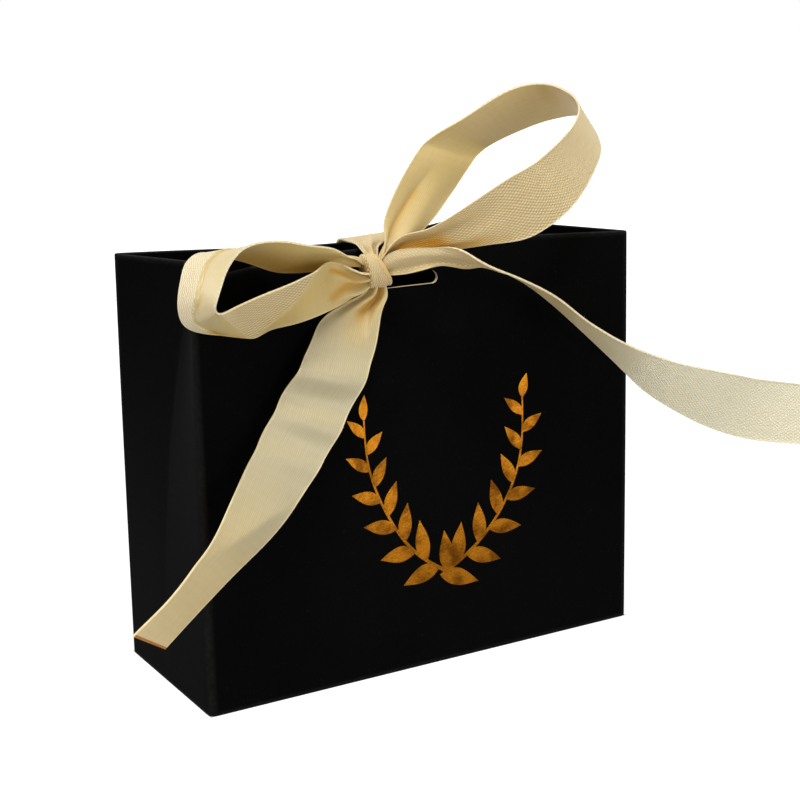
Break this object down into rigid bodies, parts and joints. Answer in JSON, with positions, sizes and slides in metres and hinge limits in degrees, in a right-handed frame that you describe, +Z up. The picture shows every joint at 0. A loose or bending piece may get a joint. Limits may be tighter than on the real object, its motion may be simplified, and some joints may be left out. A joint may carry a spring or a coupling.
{
  "type": "gift box",
  "caption": "Small black folded-card gift box with pleated sides, its mouth drawn shut by a champagne satin ribbon threaded through slots and tied in a bow",
  "frame": {"origin": "middle of the base, on the plane the box stands on", "axes": "+X along the width to the viewer's right, +Y from the front panel to the back panel, +Z up"},
  "size_m": [0.1872, 0.0623, 0.1324],
  "materials": {
    "black_card": "matte black paperboard, a wood-fibre sheet",
    "satin_ribbon": "champagne satin, smooth on one face and twill on the other"
  },
  "bodies": {
    "box": {"front_panel": "black_card", "back_panel": "black_card", "left_gusset_front": "black_card", "left_gusset_rear": "black_card", "right_gusset_front": "black_card", "right_gusset_rear": "black_card", "front_turn_in": "black_card", "back_turn_in": "black_card", "left_front_turn_in": "black_card", "left_rear_turn_in": "black_card", "right_front_turn_in": "black_card", "right_rear_turn_in": "black_card", "glue_tab": "black_card", "ribbon_strap": "satin_ribbon", "ribbon_knot": "satin_ribbon"},
    "front_flap": {"front_base_flap": "black_card"},
    "back_flap": {"back_base_flap": "black_card"},
    "left_flap": {"left_base_flap": "black_card"},
    "right_flap": {"right_base_flap": "black_card"},
    "left_bow_loop": {"left_loop": "satin_ribbon"},
    "right_bow_loop": {"right_loop": "satin_ribbon"},
    "left_bow_tail": {"left_tail": "satin_ribbon"},
    "right_bow_tail": {"right_tail": "satin_ribbon"}
  },
  "joints": [
    {"name": "front_flap_crease", "type": "hinge", "parent": "box", "child": "front_flap", "pos_m": [0, -0.02195, 0.00025], "axis": [-1, 0, 0], "range_deg": [0, 90]},
    {"name": "back_flap_crease", "type": "hinge", "parent": "box", "child": "back_flap", "pos_m": [0, 0.02195, 0.00105], "axis": [1, 0, 0], "range_deg": [0, 90]},
    {"name": "left_flap_crease", "type": "hinge", "parent": "box", "child": "left_flap", "pos_m": [-0.05645, 0, 0.00185], "axis": [0, 1, 0], "range_deg": [0, 90]},
    {"name": "right_flap_crease", "type": "hinge", "parent": "box", "child": "right_flap", "pos_m": [0.05645, 0, 0.00185], "axis": [0, -1, 0], "range_deg": [0, 90]},
    {"name": "left_loop_lift", "type": "hinge", "parent": "box", "child": "left_bow_loop", "pos_m": [-0.007, -0.01256, 0.0935], "axis": [0, 1, 0], "range_deg": [0, 25], "stiffness_Nm_per_rad": 0.002},
    {"name": "right_loop_lift", "type": "hinge", "parent": "box", "child": "right_bow_loop", "pos_m": [-0.007, -0.01256, 0.0935], "axis": [0, -1, 0], "range_deg": [0, 20], "stiffness_Nm_per_rad": 0.002},
    {"name": "left_tail_swing", "type": "hinge", "parent": "box", "child": "left_bow_tail", "pos_m": [-0.0075, -0.01306, 0.0884], "axis": [-1, 0, 0], "range_deg": [0, 30]},
    {"name": "right_tail_swing", "type": "hinge", "parent": "box", "child": "right_bow_tail", "pos_m": [-0.007, -0.01256, 0.0935], "axis": [0, 0, -1], "range_deg": [0, 35], "stiffness_Nm_per_rad": 0.001}
  ],
  "couplings": [
    {"joint": "back_flap_crease", "follows": "front_flap_crease", "ratio": 1},
    {"joint": "left_flap_crease", "follows": "front_flap_crease", "ratio": 1},
    {"joint": "right_flap_crease", "follows": "front_flap_crease", "ratio": 1}
  ]
}
